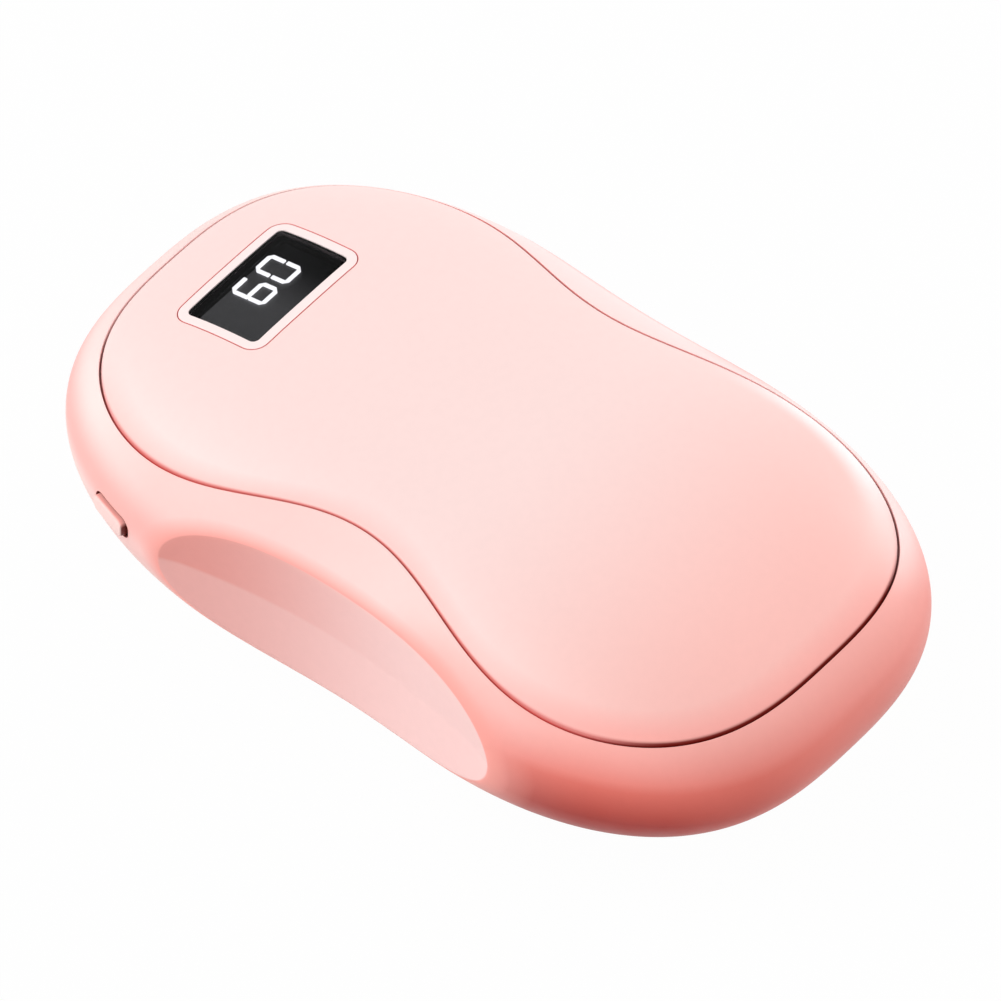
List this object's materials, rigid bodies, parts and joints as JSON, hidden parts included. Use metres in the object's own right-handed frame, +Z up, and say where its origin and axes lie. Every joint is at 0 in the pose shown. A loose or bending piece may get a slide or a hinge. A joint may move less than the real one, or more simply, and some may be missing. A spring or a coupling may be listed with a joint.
{
  "type": "rechargeable hand warmer",
  "caption": "Pebble-shaped rechargeable hand warmer with inlaid faces, grip scoops in its flanks, a number display, a side button and a charging port.",
  "frame": {"origin": "middle of the flat resting face on the underside", "axes": "+X across the width away from the button, +Y along the length towards the display, +Z up out of the display face"},
  "size_m": [0.0632, 0.1079, 0.0326],
  "materials": {
    "cover_pink": "satin soft-touch paint",
    "frame_pink": "satin soft-touch paint",
    "bezel_pink": "satin",
    "smoked_window": "polished, smoked",
    "black_tape": "matte",
    "digit_white": "lit white",
    "black_plastic": "matte",
    "board_green": "solder mask",
    "zinc_steel": "zinc plated",
    "nickel": "nickel plated",
    "gold_pin": "gold plated",
    "ceramic": "fired ceramic",
    "ferrite": "sintered",
    "socket_white": "matte",
    "plunger_white": "matte",
    "tray_white": "matte",
    "cell_wrap": "shrink-wrapped can",
    "spreader": "rolled",
    "heater_film": "amber film",
    "foam": "open foam",
    "lead_red": "insulated wire",
    "lead_black": "insulated wire",
    "bead_black": "epoxy"
  },
  "bodies": {
    "case": {"top_cover": "cover_pink", "mid_frame": "frame_pink", "bottom_cover": "frame_pink", "display_bezel": "bezel_pink", "display_window": "smoked_window", "window_tape": "black_tape", "display_digits": "digit_white", "display_housing": "black_plastic", "display_board": "board_green", "display_screws": "zinc_steel", "header_pins": "gold_pin", "header_spacer": "black_plastic", "main_board": "board_green", "board_screws": "zinc_steel", "board_chips": "black_plastic", "board_capacitors": "ceramic", "power_inductor": "ferrite", "heater_sockets": "socket_white", "port_shell": "zinc_steel", "port_tongue": "black_plastic", "switch_body": "black_plastic", "battery_tray": "tray_white", "tray_screws": "zinc_steel", "cell_left": "cell_wrap", "cell_right": "cell_wrap", "positive_strip": "nickel", "negative_strip": "nickel", "protection_board": "board_green", "red_lead": "lead_red", "black_lead": "lead_black", "upper_plate": "spreader", "lower_plate": "spreader", "upper_heater": "heater_film", "lower_heater": "heater_film", "upper_pad": "foam", "lower_pad": "foam", "upper_thermistor": "bead_black", "lower_thermistor": "bead_black"},
    "button": {"power_button": "frame_pink"},
    "plunger": {"switch_plunger": "plunger_white"}
  },
  "joints": [
    {"name": "button_press", "type": "slide", "parent": "case", "child": "button", "axis": [0.9534, -0.3017, 0], "range_m": [0, 0.0004], "stiffness_N_per_m": 1500, "springref_m": -0.0003},
    {"name": "plunger_press", "type": "slide", "parent": "case", "child": "plunger", "axis": [0.9534, -0.3017, 0], "range_m": [0, 0.0004]}
  ],
  "couplings": [
    {"joint": "plunger_press", "follows": "button_press", "ratio": 1}
  ]
}
